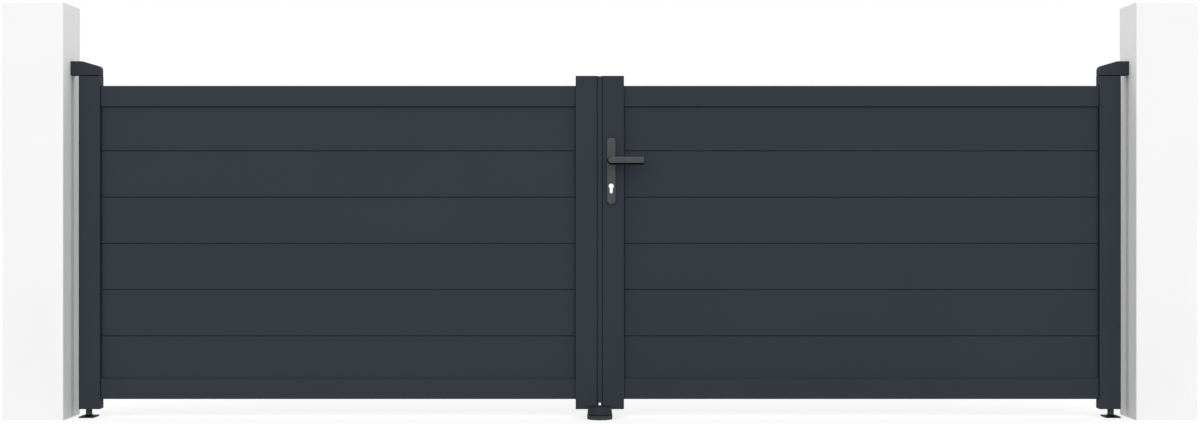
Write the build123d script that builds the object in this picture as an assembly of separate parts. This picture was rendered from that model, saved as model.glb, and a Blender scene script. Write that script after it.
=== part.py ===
from build123d import *
import os

# Double-leaf boarded driveway gate between two masonry pillars, in millimetres.
# The origin is the middle of the left pillar's foot, +X runs along the gate to the
# right pillar, +Y points from the street into the drive and +Z is up.

# Opening and pillars
OPENING = 3500.0
PILLAR_SIDE = 200.0
PILLAR_HEIGHT = 1365.0
PILLAR_EDGE = 2.5

# Where the leaves stand in the opening
LEAF_SETBACK = 84.0
GROUND_GAP = 28.0
PILLAR_GAP = 27.0
MEETING_GAP = 20.0

# Stiles
STILE_HEIGHT = 1102.0
STILE_WIDTH = 70.0
STILE_DEPTH = 50.0
STILE_EDGE = 2.5
WALL = 2.0
STILE_GROOVE = 12.0

# Stile end caps
CAP_THICKNESS = 4.0
PLUG_LENGTH = 10.0
PLUG_PLAY = 0.3

# Rails
RAIL_HEIGHT = 68.0
RAIL_DEPTH = 30.0
RAIL_INSET = 32.5
RAIL_EDGE = 0.8
RAIL_GROOVE = 12.0

# Boards
BOARD_COVER = 153.2
BOTTOM_BOARD_SHOW = 140.7
BOARD_THICKNESS = 18.0
BOARD_WALL = 1.5
BOARD_EDGE = 0.6
BOARD_PLAY = 0.3
BOARD_END_PLAY = 2.0
JOINT_GAP = 3.0
TONGUE_WIDTH = 8.0
TONGUE_REACH = 8.0
TONGUE_PLAY = 0.3

# Nib and seal that close the middle gap
NIB_RECESS = 6.5
NIB_DEPTH = 8.0
NIB_GAP = 7.4
NIB_SLOT_WIDTH = 2.8
NIB_SLOT_DEPTH = 4.0
SEAL_PLAY = 0.4
SEAL_RECESS = 1.5
SEAL_BACK_BULGE = 1.5
SEAL_ROUND = 2.8
SEAL_FOOT_PLAY = 0.2
SEAL_TOP_DROP = 1.5
SEAL_BOTTOM_LIFT = 21.0

# Pivots at the hinge stiles
PIVOT_BACKSET = 28.0
PIN_RADIUS = 7.0
PIN_LENGTH = 22.0
PIN_PLAY = 0.1
BOSS_WALL = 6.0
BOSS_OVERRUN = 3.0

# Top hinge brackets
BRACKET_GAP = 2.5
BRACKET_HEIGHT = 46.0
BRACKET_FLAT = 39.0
BRACKET_NOSE_HEIGHT = 29.5
BRACKET_NOSE_INSET = 1.0
BRACKET_NOSE_ROUND = 15.0
BRACKET_SHOULDER_ROUND = 20.0
BRACKET_EDGE = 1.5

# Floor pivots
STEM_RADIUS = 10.5
STEM_FLARE = 4.0
STEM_PLAY = 0.3
FOOT_WIDTH = 50.0
FOOT_DEPTH = 74.0
FOOT_THICKNESS = 4.0
FOOT_CORNER = 3.0
ANCHOR_SPACING = 54.0
ANCHOR_RADIUS = 4.5

# Ground stop
STOP_HEIGHT = 42.0
STOP_BASE_RADIUS = 41.5
STOP_BASE_HEIGHT = 14.0
STOP_GROOVE = 1.5
STOP_BODY_RADIUS = 41.0
STOP_TOP_RADIUS = 38.0
STOP_EDGE = 2.5
STOP_CLEARANCE = 2.0

# Lock and handles
LEVER_HEIGHT = 851.0
LEVER_BACKSET = 28.0
CYLINDER_DROP = 85.0
CYLINDER_RADIUS = 8.5
CYLINDER_SLOT_WIDTH = 10.0
CYLINDER_HEIGHT = 33.0
CYLINDER_PLAY = 0.75
PLATE_WIDTH = 27.0
PLATE_LENGTH = 217.0
PLATE_ABOVE_LEVER = 73.0
PLATE_CORNER = 11.0
PLATE_THICKNESS = 9.0
PLATE_BEVEL = 1.5
GRIP_HEIGHT = 20.6
GRIP_REACH = 107.0
GRIP_THICKNESS = 12.0
GRIP_CORNER = 2.5
GRIP_BEVEL = 2.0
GRIP_STANDOFF = 36.0
NECK_RADIUS = 9.0
NECK_PLAY = 0.1
SPINDLE_SIDE = 8.0
SPINDLE_PLAY = 0.1
SPINDLE_SEAT = 14.0
CASE_DEPTH = 44.0
CASE_THICKNESS = 16.0
CASE_ABOVE_LEVER = 40.0
CASE_BELOW_CYLINDER = 22.0
FOREND_WIDTH = 18.0
FOREND_THICKNESS = 3.0
FOREND_OVERRUN = 25.0
FOREND_PLAY = 0.2
LATCH_WIDTH = 12.0
LATCH_HEIGHT = 30.0
LATCH_PLAY = 1.0

# Places that follow from the sizes above. Leaf pieces are drawn in the right leaf's own
# frame: X from the middle of the gate, Y from the middle of the leaf, Z from the ground.
half_opening = OPENING / 2
gate_middle_x = PILLAR_SIDE / 2 + half_opening
leaf_middle_y = -PILLAR_SIDE / 2 + LEAF_SETBACK + STILE_DEPTH / 2
leaf_front = -STILE_DEPTH / 2
stile_bottom = GROUND_GAP
stile_top = GROUND_GAP + STILE_HEIGHT
hinge_outer = half_opening - PILLAR_GAP
hinge_inner = hinge_outer - STILE_WIDTH
meeting_edge = MEETING_GAP / 2
meeting_inner = meeting_edge + STILE_WIDTH
pivot_x = hinge_outer - PIVOT_BACKSET
groove_width = BOARD_THICKNESS + 2 * BOARD_PLAY
top_rail_low = stile_top - RAIL_INSET - RAIL_HEIGHT
bottom_rail_low = stile_bottom + RAIL_INSET
bottom_rail_high = bottom_rail_low + RAIL_HEIGHT
nib_front = leaf_front + NIB_RECESS
nib_middle = nib_front + NIB_DEPTH / 2
lever_x = meeting_edge + LEVER_BACKSET
cylinder_height = LEVER_HEIGHT - CYLINDER_DROP
case_low = cylinder_height + CYLINDER_RADIUS - CYLINDER_HEIGHT - CASE_BELOW_CYLINDER
case_high = LEVER_HEIGHT + CASE_ABOVE_LEVER
LEFT = -1
RIGHT = 1


def place(piece, side):
    """Move a piece from the right leaf's frame into the gate, mirrored for the left leaf."""
    if side == LEFT:
        piece = piece.mirror(Plane.YZ)
    return Pos(gate_middle_x, leaf_middle_y, 0) * piece


def block(low, high):
    """A box between two opposite corners."""
    size = [b - a for a, b in zip(low, high)]
    return Pos(*low) * Box(*size, align=(Align.MIN, Align.MIN, Align.MIN))


def across_leaf(sketch, front, back):
    """Extrude a sketch drawn in X and Z through the leaf, from one depth to another."""
    return extrude(Plane((0, back, 0), x_dir=(1, 0, 0), z_dir=(0, -1, 0)) * sketch, back - front)


def pillar():
    """A square rendered masonry pillar with lightly rounded edges."""
    body = Box(PILLAR_SIDE, PILLAR_SIDE, PILLAR_HEIGHT, align=(Align.CENTER, Align.CENTER, Align.MIN))
    rounded = body.edges().filter_by(Axis.Z) + body.faces().sort_by(Axis.Z)[-1].edges()
    return fillet(rounded, PILLAR_EDGE)


def stile_profile():
    """The hollow stile section, centred on the origin, with its board groove towards +X."""
    outline = RectangleRounded(STILE_WIDTH, STILE_DEPTH, STILE_EDGE)
    groove = Rectangle(STILE_GROOVE, groove_width, align=(Align.MAX, Align.CENTER))
    outline = outline - Pos(STILE_WIDTH / 2, 0) * groove
    return outline - offset(outline, -WALL)


def nib_profile():
    """The nib's section, from the meeting edge to half the nib gap, with the seal's slot."""
    reach = meeting_edge - NIB_GAP / 2
    bar = Rectangle(reach, NIB_DEPTH, align=(Align.MAX, Align.CENTER))
    slot = Rectangle(NIB_SLOT_DEPTH, NIB_SLOT_WIDTH, align=(Align.MIN, Align.CENTER))
    return Pos(meeting_edge, nib_middle) * bar - Pos(NIB_GAP / 2, nib_middle) * slot


def upright(profile):
    """Stand a stile profile between its two end caps."""
    return Pos(0, 0, stile_bottom + CAP_THICKNESS) * extrude(profile, STILE_HEIGHT - 2 * CAP_THICKNESS)


def hinge_stile():
    """The stile beside the pillar, with its groove towards the boards."""
    middle = (hinge_inner + hinge_outer) / 2
    return upright(Pos(middle, 0) * Rot(0, 0, 180) * stile_profile())


def meeting_stile():
    """The stile at the middle of the gate, with the nib that carries the seal."""
    middle = (meeting_edge + meeting_inner) / 2
    return upright(Pos(middle, 0) * stile_profile() + nib_profile())


def forend_slot():
    """The cut through the meeting edge that takes the lock's or strike's plate."""
    half = FOREND_WIDTH / 2 + FOREND_PLAY
    low = case_low - FOREND_OVERRUN - FOREND_PLAY
    high = case_high + FOREND_OVERRUN + FOREND_PLAY
    return block((meeting_edge, -half, low), (meeting_edge + FOREND_THICKNESS, half, high))


def cylinder_profile(play):
    """The keyhole outline for a profile cylinder, in X and Z."""
    radius = CYLINDER_RADIUS + play
    half_slot = CYLINDER_SLOT_WIDTH / 2 + play
    drop = CYLINDER_HEIGHT - CYLINDER_RADIUS - CYLINDER_SLOT_WIDTH / 2
    slot = Rectangle(2 * half_slot, drop, align=(Align.CENTER, Align.MAX))
    outline = Circle(radius) + slot + Pos(0, -drop) * Circle(half_slot)
    return Pos(lever_x, cylinder_height) * outline


def lock_cuts():
    """The spindle and cylinder holes through the stile that carries the lock."""
    spindle_hole = Pos(lever_x, LEVER_HEIGHT) * Circle(NECK_RADIUS + NECK_PLAY)
    holes = spindle_hole + cylinder_profile(CYLINDER_PLAY)
    return across_leaf(holes, leaf_front, -leaf_front)


def stile_cap(middle, nib, boss):
    """The cap on a stile's foot: a plate, its plug in the hollow and any pivot boss."""
    outline = Pos(middle, 0) * RectangleRounded(STILE_WIDTH, STILE_DEPTH, STILE_EDGE)
    if nib:
        outline = outline + nib_profile()
    plate = Pos(0, 0, stile_bottom) * extrude(outline, CAP_THICKNESS)
    seat = Pos(0, 0, stile_bottom + CAP_THICKNESS)
    if not boss:
        plug_width = STILE_WIDTH - STILE_GROOVE - 2 * WALL - 2 * PLUG_PLAY
        plug_depth = STILE_DEPTH - 2 * WALL - 2 * PLUG_PLAY
        plug_x = meeting_edge + WALL + PLUG_PLAY + plug_width / 2
        return plate + seat * Pos(plug_x, 0) * extrude(Rectangle(plug_width, plug_depth), PLUG_LENGTH)
    bore_radius = PIN_RADIUS + PIN_PLAY
    boss_height = PIN_LENGTH + BOSS_OVERRUN - CAP_THICKNESS
    round_boss = seat * Pos(pivot_x, 0) * extrude(Circle(bore_radius + BOSS_WALL), boss_height)
    bore = Pos(pivot_x, 0, stile_bottom) * extrude(Circle(bore_radius), CAP_THICKNESS + boss_height)
    return plate + round_boss - bore


def turned_over(cap):
    """Turn a foot cap over into the head cap of the same stile."""
    return cap.mirror(Plane.XY.offset((stile_bottom + stile_top) / 2))


def rail():
    """A hollow rail with its board groove upwards, standing on Z 0."""
    outline = RectangleRounded(RAIL_DEPTH, RAIL_HEIGHT, RAIL_EDGE)
    groove = Rectangle(groove_width, RAIL_GROOVE, align=(Align.CENTER, Align.MAX))
    hollow_height = RAIL_HEIGHT - RAIL_GROOVE - 2 * WALL
    hollow = Rectangle(RAIL_DEPTH - 2 * WALL, hollow_height, align=(Align.CENTER, Align.MIN))
    section = outline - Pos(0, RAIL_HEIGHT / 2) * groove - Pos(0, WALL - RAIL_HEIGHT / 2) * hollow
    along = Plane((meeting_inner, 0, RAIL_HEIGHT / 2), x_dir=(0, 1, 0), z_dir=(1, 0, 0))
    return extrude(along * section, hinge_inner - meeting_inner)


def bottom_rail():
    return Pos(0, 0, bottom_rail_low) * rail()


def top_rail():
    return Pos(0, 0, top_rail_low + RAIL_HEIGHT) * rail().mirror(Plane.XY)


def board_lines():
    """Heights of the edges of the boards, from the bottom rail's groove to the top rail's."""
    show = top_rail_low - bottom_rail_high
    whole = round((show - BOTTOM_BOARD_SHOW) / BOARD_COVER) - 1
    first = bottom_rail_high + BOTTOM_BOARD_SHOW
    joints = [first + BOARD_COVER * n for n in range(whole + 1)]
    return [bottom_rail_high - RAIL_GROOVE, *joints, top_rail_low + RAIL_GROOVE - BOARD_END_PLAY]


def board(low, high, grooved, tongued):
    """A hollow board between two joint lines. Its tongue carries the next board across a shadow gap."""
    low += JOINT_GAP / 2 if grooved else 0
    high -= JOINT_GAP / 2 if tongued else 0
    height = high - low
    outline = Rectangle(BOARD_THICKNESS, height, align=(Align.CENTER, Align.MIN))
    outline = chamfer(outline.vertices(), BOARD_EDGE)
    hollow_low = BOARD_WALL
    if grooved:
        slot = Rectangle(TONGUE_WIDTH + 2 * TONGUE_PLAY, TONGUE_REACH, align=(Align.CENTER, Align.MIN))
        outline = outline - slot
        hollow_low += TONGUE_REACH
    if tongued:
        tongue = Rectangle(TONGUE_WIDTH, JOINT_GAP + TONGUE_REACH, align=(Align.CENTER, Align.MIN))
        outline = outline + Pos(0, height) * tongue
    hollow_height = height - BOARD_WALL - hollow_low
    hollow = Rectangle(BOARD_THICKNESS - 2 * BOARD_WALL, hollow_height, align=(Align.CENTER, Align.MIN))
    section = outline - Pos(0, hollow_low) * hollow
    start = meeting_inner - STILE_GROOVE + BOARD_END_PLAY
    end = hinge_inner + STILE_GROOVE - BOARD_END_PLAY
    along = Plane((start, 0, low), x_dir=(0, 1, 0), z_dir=(1, 0, 0))
    return extrude(along * section, end - start)


def meeting_seal():
    """The rubber seal on the right nib, with a rounded face towards the left nib."""
    width = NIB_GAP - SEAL_PLAY
    front = leaf_front + SEAL_RECESS
    depth = nib_front + NIB_DEPTH + SEAL_BACK_BULGE - front
    bead = Pos(NIB_GAP / 2 - width / 2, front + depth / 2) * RectangleRounded(width, depth, SEAL_ROUND)
    foot_size = (NIB_SLOT_DEPTH - SEAL_FOOT_PLAY, NIB_SLOT_WIDTH - 2 * SEAL_FOOT_PLAY)
    foot = Pos(NIB_GAP / 2, nib_middle) * Rectangle(*foot_size, align=(Align.MIN, Align.CENTER))
    low = stile_bottom + SEAL_BOTTOM_LIFT
    high = stile_top - SEAL_TOP_DROP
    return Pos(0, 0, low) * extrude(bead + foot, high - low)


def top_hinge():
    """The cast bracket on the pillar, with the pin that holds the stile's head."""
    low = stile_top + BRACKET_GAP
    high = low + BRACKET_HEIGHT
    nose = hinge_inner + BRACKET_NOSE_INSET
    slope_start = half_opening - BRACKET_FLAT
    points = [(half_opening, low), (half_opening, high), (slope_start, high)]
    points += [(nose, low + BRACKET_NOSE_HEIGHT), (nose, low)]
    outline = Polygon(*points, align=None)
    nose_corner = outline.vertices().sort_by_distance((nose, low + BRACKET_NOSE_HEIGHT))[0]
    outline = fillet(nose_corner, BRACKET_NOSE_ROUND)
    shoulder = outline.vertices().sort_by_distance((slope_start, high))[0]
    outline = fillet(shoulder, BRACKET_SHOULDER_ROUND)
    body = across_leaf(outline, leaf_front, -leaf_front)
    rims = body.faces().filter_by(Axis.Y).edges()
    free_rims = [e for e in rims if e.center().X < half_opening - BRACKET_EDGE]
    body = fillet(free_rims, BRACKET_EDGE)
    pin_low = stile_top - PIN_LENGTH
    return body + Pos(pivot_x, 0, pin_low) * extrude(Circle(PIN_RADIUS), low - pin_low)


def floor_pivot():
    """The floor plate with the stem under the stile and the pin inside its foot."""
    plate = extrude(RectangleRounded(FOOT_WIDTH, FOOT_DEPTH, FOOT_CORNER), FOOT_THICKNESS)
    for end in (-1, 1):
        plate -= Pos(0, end * ANCHOR_SPACING / 2) * extrude(Circle(ANCHOR_RADIUS), FOOT_THICKNESS)
    shoulder = stile_bottom - STEM_PLAY
    stem = Pos(0, 0, FOOT_THICKNESS) * extrude(Circle(STEM_RADIUS), shoulder - FOOT_THICKNESS)
    joined = plate + stem
    root = [e for e in joined.edges().filter_by(GeomType.CIRCLE) if abs(e.radius - STEM_RADIUS) < STEM_PLAY]
    joined = fillet(sorted(root, key=lambda e: e.center().Z)[0], STEM_FLARE)
    pin = Pos(0, 0, shoulder) * extrude(Circle(PIN_RADIUS), stile_bottom + PIN_LENGTH - shoulder)
    return Pos(pivot_x, 0, 0) * (joined + pin)


def centre_stop():
    """The round ground stop in front of the leaves: a base ring, a groove and a tapered body."""
    groove_top = STOP_BASE_HEIGHT + STOP_GROOVE
    groove_radius = STOP_BODY_RADIUS - STOP_GROOVE
    points = [(0, 0), (STOP_BASE_RADIUS, 0), (STOP_BASE_RADIUS, STOP_BASE_HEIGHT)]
    points += [(groove_radius, STOP_BASE_HEIGHT), (groove_radius, groove_top), (STOP_BODY_RADIUS, groove_top)]
    points += [(STOP_TOP_RADIUS, STOP_HEIGHT), (0, STOP_HEIGHT)]
    half_section = Polygon(*points, align=None)
    rims = [(STOP_BASE_RADIUS, 0), (STOP_TOP_RADIUS, STOP_HEIGHT)]
    corners = [half_section.vertices().sort_by_distance(rim)[0] for rim in rims]
    body = revolve(Plane.XZ * fillet(corners, STOP_EDGE), Axis.Z)
    return Pos(0, leaf_front - STOP_CLEARANCE - STOP_BASE_RADIUS, 0) * body


def handle_plate():
    """The long plate on the street side, bored for the lever and cut for the cylinder."""
    middle = LEVER_HEIGHT + PLATE_ABOVE_LEVER - PLATE_LENGTH / 2
    outline = Pos(lever_x, middle) * RectangleRounded(PLATE_WIDTH, PLATE_LENGTH, PLATE_CORNER)
    body = across_leaf(outline, leaf_front - PLATE_THICKNESS, leaf_front)
    body = fillet(body.faces().sort_by(Axis.Y)[0].edges(), PLATE_BEVEL)
    holes = cylinder_profile(0) + Pos(lever_x, LEVER_HEIGHT) * Circle(NECK_RADIUS + NECK_PLAY)
    return body - across_leaf(holes, leaf_front - PLATE_THICKNESS, leaf_front)


def lever():
    """The street lever: a flat bevelled grip on a round neck, with a socket for the spindle."""
    plate_face = leaf_front - PLATE_THICKNESS
    grip_back = plate_face - GRIP_STANDOFF
    half = GRIP_HEIGHT / 2
    end = Pos(GRIP_REACH, 0) * Rectangle(GRIP_REACH, GRIP_HEIGHT, align=(Align.MAX, Align.CENTER))
    tip = [v for v in end.vertices() if v.X > GRIP_REACH / 2]
    outline = Pos(lever_x, LEVER_HEIGHT) * (fillet(tip, GRIP_CORNER) + Circle(half))
    grip = across_leaf(outline, grip_back - GRIP_THICKNESS, grip_back)
    grip = chamfer(grip.faces().sort_by(Axis.Y)[0].edges(), GRIP_BEVEL)
    axis = Pos(lever_x, LEVER_HEIGHT)
    neck = across_leaf(axis * Circle(NECK_RADIUS), grip_back, leaf_front)
    socket_side = SPINDLE_SIDE + 2 * SPINDLE_PLAY
    socket = across_leaf(axis * Rectangle(socket_side, socket_side), leaf_front - SPINDLE_SEAT, leaf_front)
    return grip + neck - socket


def to_drive_side(piece):
    """Turn a street-side piece into its twin on the drive side of the leaf."""
    return piece.mirror(Plane.XZ)


def spindle():
    """The square bar that turns both levers together."""
    reach = SPINDLE_SEAT - SPINDLE_PLAY - leaf_front
    return across_leaf(Pos(lever_x, LEVER_HEIGHT) * Rectangle(SPINDLE_SIDE, SPINDLE_SIDE), -reach, reach)


def forend():
    """The plate that lies flush in the meeting edge of a stile."""
    half = FOREND_WIDTH / 2
    low = case_low - FOREND_OVERRUN
    high = case_high + FOREND_OVERRUN
    return block((meeting_edge, -half, low), (meeting_edge + FOREND_THICKNESS, half, high))


def latch_window(play):
    """The latch bolt's outline in the meeting edge, drawn back flush with its plate."""
    half = LATCH_WIDTH / 2 + play
    rise = LATCH_HEIGHT / 2 + play
    low = (meeting_edge, -half, LEVER_HEIGHT - rise)
    return block(low, (meeting_edge + FOREND_THICKNESS, half, LEVER_HEIGHT + rise))


def lock_case():
    """The mortice lock inside the right stile, with its plate and withdrawn latch bolt."""
    back = meeting_edge + FOREND_THICKNESS
    half = CASE_THICKNESS / 2
    case = block((back, -half, case_low), (back + CASE_DEPTH, half, case_high))
    plate = forend() - latch_window(LATCH_PLAY) + latch_window(0)
    spindle_hole = Pos(lever_x, LEVER_HEIGHT) * Circle(NECK_RADIUS)
    holes = spindle_hole + cylinder_profile(CYLINDER_PLAY)
    return case + plate - across_leaf(holes, -half, half)


def strike_plate():
    """The left stile's strike, with an open window for the latch bolt."""
    return forend() - latch_window(LATCH_PLAY)


def leaf_pieces(side):
    """The pieces that both leaves have, by their short names."""
    hinge_middle = (hinge_inner + hinge_outer) / 2
    meeting_middle = (meeting_edge + meeting_inner) / 2
    hinge_foot = stile_cap(hinge_middle, nib=False, boss=True)
    meeting_foot = stile_cap(meeting_middle, nib=True, boss=False)
    cuts = forend_slot()
    if side == RIGHT:
        cuts = cuts + lock_cuts()
    pieces = {
        "hinge_stile": hinge_stile(),
        "hinge_stile_foot": hinge_foot,
        "hinge_stile_head": turned_over(hinge_foot),
        "meeting_stile": meeting_stile() - cuts,
        "meeting_stile_foot": meeting_foot,
        "meeting_stile_head": turned_over(meeting_foot),
        "top_rail": top_rail(),
        "bottom_rail": bottom_rail(),
    }
    lines = board_lines()
    last = len(lines) - 2
    for n in range(last + 1):
        pieces[f"board_{n + 1}"] = board(lines[n], lines[n + 1], grooved=n > 0, tongued=n < last)
    return pieces


def all_pieces():
    """Every piece of the gate in its place, by node name."""
    pieces = {
        "left_pillar": pillar(),
        "right_pillar": Pos(OPENING + PILLAR_SIDE, 0, 0) * pillar(),
        "centre_stop": place(centre_stop(), RIGHT),
        "meeting_seal": place(meeting_seal(), RIGHT),
        "street_handle_plate": place(handle_plate(), RIGHT),
        "drive_handle_plate": place(to_drive_side(handle_plate()), RIGHT),
        "street_lever": place(lever(), RIGHT),
        "drive_lever": place(to_drive_side(lever()), RIGHT),
        "lever_spindle": place(spindle(), RIGHT),
        "lock_case": place(lock_case(), RIGHT),
        "strike_plate": place(strike_plate(), LEFT),
    }
    for side, name in ((LEFT, "left"), (RIGHT, "right")):
        pieces[f"{name}_top_hinge"] = place(top_hinge(), side)
        pieces[f"{name}_floor_pivot"] = place(floor_pivot(), side)
        for part_name, piece in leaf_pieces(side).items():
            pieces[f"{name}_{part_name}"] = place(piece, side)
    return pieces


os.makedirs("parts", exist_ok=True)
for node, piece in all_pieces().items():
    export_step(piece, f"parts/{node}.step")
    print(node, round(piece.volume / 1000, 1), "cm3")
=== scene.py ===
# %% [markdown]
# A boarded driveway gate, dressed for its picture
#
# The gate has two hollow aluminium leaves between two rendered masonry pillars. Each leaf is a frame of
# stiles and rails, filled with wide boards. The construction is already modelled to the millimetre, and this
# lesson gives it its finishes, its small fasteners, a studio and a camera. Work goes from the outside in:
# first the view, so that every later choice can be judged in it, then light, then finishes, then the small
# pieces.

# %% Load the construction
import math
from collections import namedtuple

import bmesh
import bpy
from mathutils import Matrix, Vector


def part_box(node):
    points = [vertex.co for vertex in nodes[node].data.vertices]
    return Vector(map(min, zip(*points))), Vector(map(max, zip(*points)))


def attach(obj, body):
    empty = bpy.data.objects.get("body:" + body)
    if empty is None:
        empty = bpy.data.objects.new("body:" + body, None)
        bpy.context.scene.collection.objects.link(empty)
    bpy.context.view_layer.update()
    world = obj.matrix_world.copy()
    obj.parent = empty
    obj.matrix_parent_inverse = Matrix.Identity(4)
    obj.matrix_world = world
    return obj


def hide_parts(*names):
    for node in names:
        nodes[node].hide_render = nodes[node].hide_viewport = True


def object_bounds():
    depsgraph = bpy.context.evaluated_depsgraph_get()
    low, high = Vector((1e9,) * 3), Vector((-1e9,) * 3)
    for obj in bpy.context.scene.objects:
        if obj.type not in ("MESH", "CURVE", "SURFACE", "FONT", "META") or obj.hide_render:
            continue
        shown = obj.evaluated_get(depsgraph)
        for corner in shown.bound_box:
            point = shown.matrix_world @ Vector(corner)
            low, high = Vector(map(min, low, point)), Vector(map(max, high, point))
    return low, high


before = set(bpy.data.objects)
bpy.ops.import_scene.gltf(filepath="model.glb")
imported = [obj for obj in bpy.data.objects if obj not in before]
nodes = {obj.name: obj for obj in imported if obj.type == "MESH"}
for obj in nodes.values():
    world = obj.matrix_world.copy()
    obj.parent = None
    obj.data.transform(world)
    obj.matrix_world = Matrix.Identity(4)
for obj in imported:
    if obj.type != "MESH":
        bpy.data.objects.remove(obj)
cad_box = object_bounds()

# %% [markdown]
# The camera
#
# The picture looks straight at the gate from the street, level, from a bit below half its height. Two things
# fix such a view: how far away the camera stands, which sets how much of the pillars' inner sides shows, and
# the focal length, which then sets the size in the frame. One could drag the camera about until it fits. It
# is quicker to work it out, because both are plain ratios: pixels on the picture over metres on the object.

# %% Place the camera
PICTURE_WIDTH = 1200     # pixels, and so are the next four
PICTURE_HEIGHT = 424
FOCAL_PIXELS = 1895      # from the lens to the picture, counted in pixels of the picture
HORIZON_ROW = 211.5      # the row at the camera's own height
MIDDLE_COLUMN = 599.8    # the column of the gate's middle
CAMERA_HEIGHT = 0.6815   # metres above the ground
CAMERA_DISTANCE = 6.18   # metres from the pillars' front
SENSOR_MM = 36.0
LEVEL = 90               # degrees from straight down, where cameras and suns look until they are turned

gate_middle = (cad_box[0].x + cad_box[1].x) / 2
pillar_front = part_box("left_pillar")[0].y

camera_data = bpy.data.cameras.new("street_view")
camera_data.sensor_width = SENSOR_MM
camera_data.lens = SENSOR_MM * FOCAL_PIXELS / PICTURE_WIDTH
camera_data.shift_x = (PICTURE_WIDTH / 2 - MIDDLE_COLUMN) / PICTURE_WIDTH
camera_data.shift_y = (HORIZON_ROW - PICTURE_HEIGHT / 2) / PICTURE_WIDTH
camera = bpy.data.objects.new("street_view", camera_data)
camera.location = (gate_middle, pillar_front - CAMERA_DISTANCE, CAMERA_HEIGHT)
camera.rotation_euler = (math.radians(LEVEL), 0, 0)
bpy.context.scene.collection.objects.link(camera)
bpy.context.scene.camera = camera
print("lens", round(camera_data.lens, 2), "mm, camera at", camera.location)

# %% [markdown]
# Helpers for every finish
#
# A colour picked from a screen is an sRGB hex value, but Blender mixes light in linear values, so one
# function turns the first into the second, by the curve of the sRGB standard. A material is a small graph of
# nodes. The second function adds one node, sets its options and joins its inputs, and every finish below is
# written with it. One could join nodes by hand in the shader editor, but a written graph can be read and
# changed later. Texture scales are easier to think of as a size on the object, so a third function turns
# millimetres into Blender's scale.

# %% Colour, node and scale helpers
MM = 0.001               # metres


def linear(hex_colour):
    """The linear RGBA value of an sRGB hex colour such as #3A3D45."""
    parts = [int(hex_colour[n:n + 2], 16) / 255 for n in (1, 3, 5)]
    return [p / 12.92 if p <= 0.04045 else ((p + 0.055) / 1.055) ** 2.4 for p in parts] + [1.0]


def add_node(tree, kind, inputs=None, **settings):
    """Add a node to a tree, set its options, and set or link each named or numbered input."""
    made = tree.nodes.new(kind)
    for name, value in settings.items():
        setattr(made, name, value)
    for socket, value in (inputs or {}).items():
        if isinstance(value, bpy.types.NodeSocket):
            tree.links.new(value, made.inputs[socket])
        else:
            made.inputs[socket].default_value = value
    return made


def per_metre(size_mm):
    """The texture scale at which a pattern repeats about every so many millimetres."""
    return 1 / (size_mm * MM)


print("mid grey is", [round(v, 3) for v in linear("#808080")])

# %% [markdown]
# Studio light
#
# The picture has the even light of an overcast white studio: both pillars' inner sides are equally bright,
# and shadows are soft. A white dome all round gives that base, and it is the white backdrop too. It reaches
# into the gap between pillar and leaf from the front and from behind, so the pillars' inner sides darken
# only a little there. A lamp from one side would leave a dark band. One broad lamp from the street side and
# above makes the front the brightest side and puts a shadow under each ledge. An area lamp fades with
# distance, which would leave a grey edge on a wide floor, so the lamp is a sun with a very large disc.

# %% The dome and the lamp
DOME_STRENGTH = 1.0      # white to the eye
LAMP_STRENGTH = 0.95
LAMP_HEIGHT = 26         # degrees above the horizon, on the camera's side
LAMP_DISC = 70           # degrees

world = bpy.data.worlds.new("white_studio")
bpy.context.scene.world = world
world.use_nodes = True
dome = world.node_tree.nodes["Background"]
dome.inputs["Color"].default_value = linear("#FFFFFF")
dome.inputs["Strength"].default_value = DOME_STRENGTH

lamp_data = bpy.data.lights.new("broad_lamp", "SUN")
lamp_data.energy = LAMP_STRENGTH
lamp_data.angle = math.radians(LAMP_DISC)
lamp = bpy.data.objects.new("broad_lamp", lamp_data)
lamp.rotation_euler = (math.radians(LEVEL - LAMP_HEIGHT), 0, 0)
bpy.context.scene.collection.objects.link(lamp)

bpy.context.scene.view_settings.view_transform = "Standard"
print("dome", DOME_STRENGTH, "and lamp", LAMP_STRENGTH, "at", LAMP_HEIGHT, "degrees")

# %% [markdown]
# The floor
#
# The object stands on a pale floor that runs out of sight. A studio's floor is curved up into its back wall.
# A flat one is enough here, because it meets the white dome so far away that no edge shows.

# %% The floor's shape
FLOOR_HALF = 150.0       # metres from the origin to each side

floor_corners = [(x * FLOOR_HALF, y * FLOOR_HALF, 0) for x, y in ((-1, -1), (1, -1), (1, 1), (-1, 1))]
floor_mesh = bpy.data.meshes.new("floor")
floor_mesh.from_pydata(floor_corners, [], [(0, 1, 2, 3)])
floor = bpy.data.objects.new("floor", floor_mesh)
bpy.context.scene.collection.objects.link(floor)
print("floor", 2 * FLOOR_HALF, "m across")

# %% [markdown]
# The floor's finish
#
# Its colour takes the gate's soft shadow, and a glow lifts the unshaded floor to the white of the backdrop.
# More lamps could do that too, but they would wash out the gate. The glow must light nothing else, so it is
# kept to direct sight: the Light Path node tells rays from the camera, from a reflection or through glass
# apart from light that bounces softly.

# %% The floor's finish
FLOOR_COLOUR = "#B4B4B4"
FLOOR_GLOW = 0.62

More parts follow.
